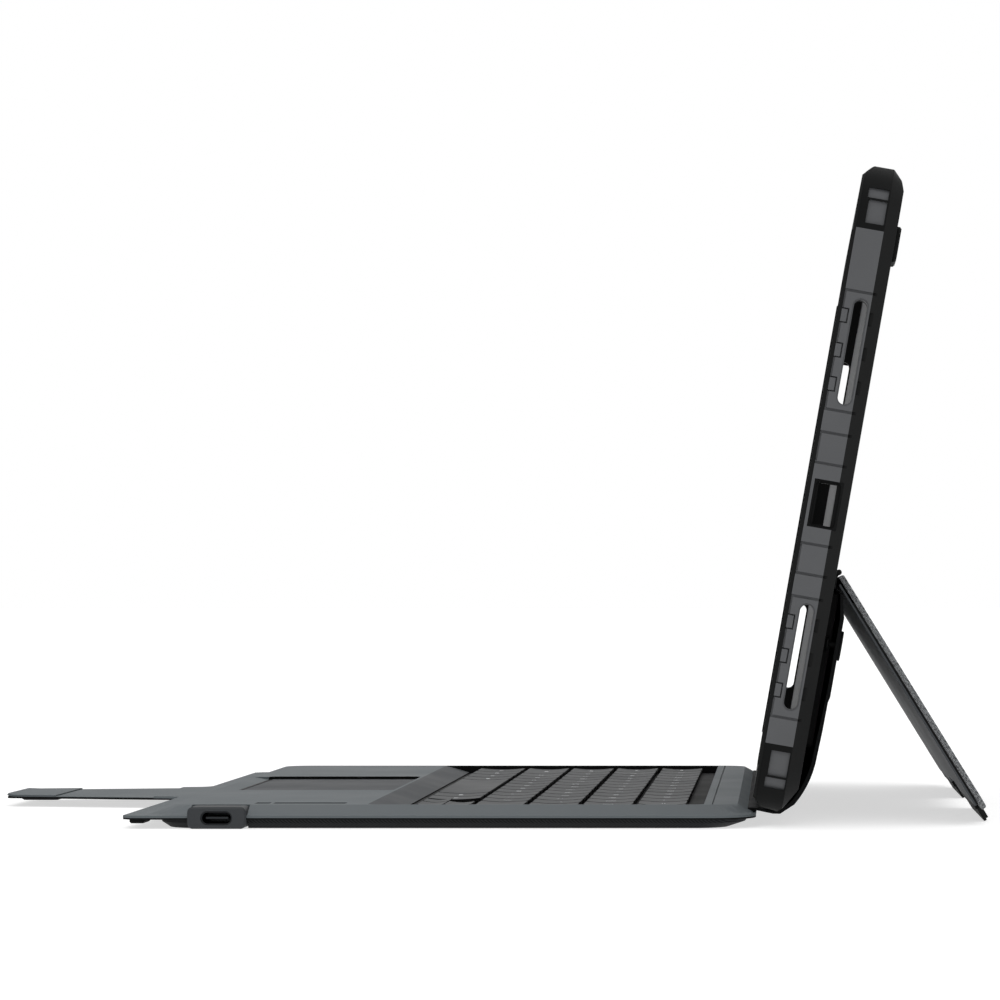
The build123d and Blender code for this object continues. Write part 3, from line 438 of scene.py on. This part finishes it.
def applyModifier(piece, kind, **settings):
    # one modifier, made part of the mesh
    modifier = piece.modifiers.new(kind.lower(), kind)
    for name, value in settings.items():
        setattr(modifier, name, value)
    graph = bpy.context.evaluated_depsgraph_get()
    made = bpy.data.meshes.new_from_object(piece.evaluated_get(graph))
    piece.modifiers.clear()
    piece.data = made


def edgeRoom(edge):
    # how far an edge may be rounded before it meets the next edge
    along = (edge.verts[1].co - edge.verts[0].co).normalized()
    room = edgeEasing["mostRoom"]
    for end in edge.verts:
        for other in end.link_edges:
            if other is edge:
                continue
            away = (other.other_vert(end).co - end.co).normalized()
            if abs(away.dot(along)) < edgeEasing["inLine"]:
                room = min(room, other.calc_length() / edgeEasing["neighbourShare"])
    return room


def easeEdges(node, material, radius):
    # the CAD shape again, with its sharp edges rounded as a moulded or pressed edge is
    ease = edgeEasing
    shape = bmesh.new()
    shape.from_mesh(frame["nodes"][node].data)
    bmesh.ops.remove_doubles(shape, verts=shape.verts, dist=ease["weldGap"] * mm)
    bmesh.ops.dissolve_limit(shape, angle_limit=math.radians(ease["flatAngle"]), verts=shape.verts,
                             edges=shape.edges)
    weight = shape.edges.layers.float.new("bevel_weight_edge")
    for edge in shape.edges:
        if len(edge.link_faces) == 2 and edge.calc_face_angle(0.0) > math.radians(ease["sharpAngle"]):
            edge[weight] = min(1.0, edgeRoom(edge) / (radius * mm))
    mesh = bpy.data.meshes.new(node + "_eased")
    shape.to_mesh(mesh)
    shape.free()
    piece = addPiece(node + "_eased", mesh)
    applyModifier(piece, "BEVEL", width=radius * mm, segments=ease["segments"], limit_method="WEIGHT",
                  use_clamp_overlap=True)
    piece.data.polygons.foreach_set("use_smooth", [True] * len(piece.data.polygons))
    piece.data.set_sharp_from_angle(angle=math.radians(ease["smoothAngle"]))
    applyModifier(piece, "WEIGHTED_NORMAL", keep_sharp=True)
    setFinish(piece, material)
    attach(piece, bodyOf(node))
    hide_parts(node)
    return piece


eased = {node: easeEdges(node, *how) for node, how in easedPieces.items()}
for node, material in plainPieces.items():
    setFinish(frame["nodes"][node], material)
print("CAD pieces finished")


# low and high corners, seen from above, of the two openings in the deck
deckOpenings = {
    "keyWell": ((-0.1200, -0.0225), (0.1200, 0.0783)),
    "trackpadWindow": ((-0.0425, -0.0755), (0.0425, -0.0225)),
}


wallTilt = 0.3      # a face whose normal rises less than this is an upright wall
paintedShadeDrop = 0.3     # mm below the deck's top, where the ramp and floor begin and the painted shade starts
keySheenTilt = 0.9    # a face whose normal rises more than this is the top of a key, which keeps the painted sheen


def shadeOpenings(piece):
    # upright walls inside the openings are drawn black, and the ramp and floor get the darker skin as
    # painted shade
    piece.data.materials.append(wallBlack)
    piece.data.materials.append(darkSkinAndPaintedShade)
    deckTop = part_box("deck_frame")[1][2]
    for face in piece.data.polygons:
        corners = [piece.data.vertices[i].co for i in face.vertices]
        for low, high in deckOpenings.values():
            if not all(low[0] < co.x < high[0] and low[1] < co.y < high[1] for co in corners):
                continue
            if abs(face.normal.z) < wallTilt:
                face.material_index = 1
            elif face.center.z < deckTop - paintedShadeDrop * mm and face.normal.z > 0:
                # the darker skin here is painted shade
                face.material_index = 2


def darkenKeySides(piece):
    # a key's sides keep the black of the bare key plastic, and its top keeps the grey that is painted sheen
    piece.data.materials.append(wallBlack)
    for face in piece.data.polygons:
        if face.normal.z < keySheenTilt:
            face.material_index = 1


shadeOpenings(eased["deck_frame"])
for name in keyNodes:
    darkenKeySides(eased[name])
print("deck openings and key sides shaded")


closingFlap = {
    "rootHalf": 27.5,       # half width where the flap leaves the flange
    "taper": 0.18,          # half width lost per mm towards the tip
    "skinJoin": 3.33,       # height where the black underside meets the grey top
    "cornerRadius": 4.0,
    "tabStart": -135.3,
    "tabHeight": 0.4,
    "tipGap": 0.35,         # how far the two skins part at the very tip
    "splitY": -112.0,       # between the two fold lines
    "riseReach": 2.4,       # length of skin that turns at the first fold
    "wrapReach": 1.6,       # half of the length that turns at the second
    "rowSpacing": 0.4,
    "rootOverlap": 1.0,     # from the riser's edge back to where the taper starts
    "rootGap": 0.02,
    "underInset": 0.15,     # the black skin stops short of the grey one
    "underGapShare": -0.3,  # its share of the gap at the tip, downwards
    "tabInset": 0.3,
    "tabSetBack": 0.4,
    "tabSink": 0.02,        # how far the tab starts inside the skin
}
stripMesh = {"columns": 12, "rim": 0.12, "creaseAngle": 50}


def slab(name, stations, material):
    # a flexible strip: stations of (y, half width, low, high) in mm, joined across X
    shape = bmesh.new()
    columns = stripMesh["columns"]
    rings = []
    for y, half, low, high in stations:
        across = [half * (2 * i / columns - 1) for i in range(columns + 1)]
        rim = min(stripMesh["rim"], (high - low) / 3)
        ring = [(x, low) for x in across] + [(half + rim, (low + high) / 2)]
        ring += [(x, high) for x in reversed(across)] + [(-half - rim, (low + high) / 2)]
        rings.append([shape.verts.new((x * mm, y * mm, z * mm)) for x, z in ring])
    for one, two in zip(rings, rings[1:]):
        count = len(one)
        for i in range(count):
            shape.faces.new((one[i], one[(i + 1) % count], two[(i + 1) % count], two[i]))
    shape.faces.new(rings[0])
    shape.faces.new(list(reversed(rings[-1])))
    bmesh.ops.recalc_face_normals(shape, faces=shape.faces)
    mesh = bpy.data.meshes.new(name)
    shape.to_mesh(mesh)
    shape.free()
    mesh.polygons.foreach_set("use_smooth", [True] * len(mesh.polygons))
    mesh.set_sharp_from_angle(angle=math.radians(stripMesh["creaseAngle"]))
    piece = addPiece(name, mesh)
    setFinish(piece, material)
    return piece


def flapStations(near, far, low, high, inset, gapShare):
    # rows close together, so the strip can turn at a fold
    flap = closingFlap
    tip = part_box("flap_tip")[0][1] / mm + inset
    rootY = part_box("flap_riser")[1][1] / mm + flap["rootOverlap"]
    rows = max(2, round((near - far) / flap["rowSpacing"]))
    stations = []
    for i in range(rows + 1):
        y = near + (far - near) * i / rows
        half = flap["rootHalf"] - flap["taper"] * (rootY - y) - inset
        past = max(0.0, tip + flap["cornerRadius"] - y)
        half -= flap["cornerRadius"] - math.sqrt(max(0.0, flap["cornerRadius"] ** 2 - past ** 2))
        lift = gapShare * flap["tipGap"] * (past / flap["cornerRadius"]) ** 2
        stations.append((y, half, low + lift, high + lift))
    return stations


def buildFlap():
    flap = closingFlap
    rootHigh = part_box("flap_root_fold")[1]
    riserLow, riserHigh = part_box("flap_riser")
    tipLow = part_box("flap_tip")[0]
    rootY, tipY = rootHigh[1] / mm + flap["rootGap"], tipLow[1] / mm
    bottom, top = riserLow[2] / mm, riserHigh[2] / mm
    join, split = flap["skinJoin"], flap["splitY"]
    for side, low, high, inset, gapShare, skin, slot in (
            ("top", join, top, 0.0, 1.0, greySkin, "grey_skin"),
            ("under", bottom, join, flap["underInset"], flap["underGapShare"], blackSkin, "black_skin")):
        root = slab("flap_root_" + side, flapStations(rootY, split, low, high, inset, 0.0), skin)
        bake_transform(root)
        end = slab("flap_end_" + side, flapStations(split, tipY + inset, low, high, inset, gapShare), skin)
        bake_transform(end)
        if side == "top":
            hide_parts("flap_root_fold", "flap_riser")
            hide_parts("flap_tip_fold", "flap_tip")
    rows = flapStations(flap["tabStart"], tipY + flap["tabSetBack"], top - flap["tabSink"],
                        top + flap["tabHeight"], flap["tabInset"], 1.0)
    tab = slab("flap_end_tab", rows, greySkin)
    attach(tab, "flap_tip")


buildFlap()
print("closing flap made")


spine = {
    "half": 112.0,
    # upper and lower line of the sheet, from the deck's rear slope to the folio back
    "upper": [(90.16, 5.37), (93.3, 5.30), (98.14, 4.22)],
    "lower": [(91.36, 4.67), (93.3, 4.60), (98.04, 3.52)],
    "rows": 16,
}


def alongLine(points, share):
    # the point at a share of a line's length
    lengths = [math.dist(a, b) for a, b in zip(points, points[1:])]
    left = share * sum(lengths)
    for (a, b), length in zip(zip(points, points[1:]), lengths):
        if left <= length + 1e-9:
            t = left / length
            return a[0] + (b[0] - a[0]) * t, a[1] + (b[1] - a[1]) * t
        left -= length
    return points[-1]


def buildSpine():
    stations = []
    for i in range(spine["rows"] + 1):
        upperY, upperZ = alongLine(spine["upper"], i / spine["rows"])
        lowerY, lowerZ = alongLine(spine["lower"], i / spine["rows"])
        stations.append(((upperY + lowerY) / 2, spine["half"], lowerZ, upperZ))
    sheet = slab("spine_sheet", stations, blackSkin)
    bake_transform(sheet)
    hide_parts("spine_strap")


buildSpine()
print("spine sheet made")


# plain generic legends, key by key from left to right
legends = {
    "number_row_keys": ["esc"] + list("1234567890-=") + ["del"],
    "tab_key": ["tab"],
    "upper_letter_keys": list("qwertyuiop[]"),
    "backslash_key": ["\\"],
    "caps_key": ["caps"],
    "home_letter_keys": list("asdfghjkl;'"),
    "enter_key": ["enter"],
    "left_shift_key": ["shift"],
    "lower_letter_keys": list("zxcvbnm,./"),
    "right_shift_key": ["shift"],
    "left_modifier_keys": ["fn", "ctrl", "alt", "cmd"],
    "right_modifier_keys": ["cmd", "alt"],
}
# mm
legendSize = {"letter": 3.4, "word": 2.4, "lift": 0.02, "thickness": 0.03,
              "weldGap": 0.0005, "dropFrom": 20}


def keyCentres(mesh):
    # the middle of each separate key in a row, from left to right
    shape = bmesh.new()
    shape.from_mesh(mesh)
    bmesh.ops.remove_doubles(shape, verts=shape.verts, dist=edgeEasing["weldGap"] * mm)
    unseen, centres = set(shape.verts), []
    while unseen:
        pile, group = [unseen.pop()], []
        while pile:
            vert = pile.pop()
            group.append(vert.co.copy())
            for edge in vert.link_edges:
                other = edge.other_vert(vert)
                if other in unseen:
                    unseen.remove(other)
                    pile.append(other)
        xs, ys = [co.x for co in group], [co.y for co in group]
        centres.append(((min(xs) + max(xs)) / 2, (min(ys) + max(ys)) / 2))
    shape.free()
    return sorted(centres)


def printLegends(node, words):
    source = frame["nodes"][node].data
    surface = BVHTree.FromPolygons([v.co.copy() for v in source.vertices],
                                   [tuple(face.vertices) for face in source.polygons])
    joined = bmesh.new()
    for word, (x, y) in zip(words, keyCentres(source)):
        writing = bpy.data.curves.new("legend", "FONT")
        writing.body = word
        writing.align_x, writing.align_y = "CENTER", "CENTER"
        writing.size = legendSize["letter" if len(word) == 1 else "word"] * mm
        writing.extrude = legendSize["thickness"] / 2 * mm
        writing.resolution_u = 3
        holder = addPiece("legend", writing)
        graph = bpy.context.evaluated_depsgraph_get()
        letters = bpy.data.meshes.new_from_object(holder.evaluated_get(graph))
        bpy.data.objects.remove(holder)
        for vert in letters.vertices:
            place = Vector((x + vert.co.x, y + vert.co.y, legendSize["dropFrom"] * mm))
            hit = surface.ray_cast(place, Vector((0, 0, -1)))[0]
            if hit:
                place.z = hit.z + vert.co.z + legendSize["lift"] * mm
            vert.co = place
        joined.from_mesh(letters)
        bpy.data.meshes.remove(letters)
    bmesh.ops.remove_doubles(joined, verts=joined.verts, dist=legendSize["weldGap"] * mm)
    mesh = bpy.data.meshes.new(node + "_legends")
    joined.to_mesh(mesh)
    joined.free()
    piece = addPiece(node + "_legends", mesh)
    setFinish(piece, legendInk)
    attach(piece, bodyOf(node))


for node, words in legends.items():
    printLegends(node, words)
print("legends printed")
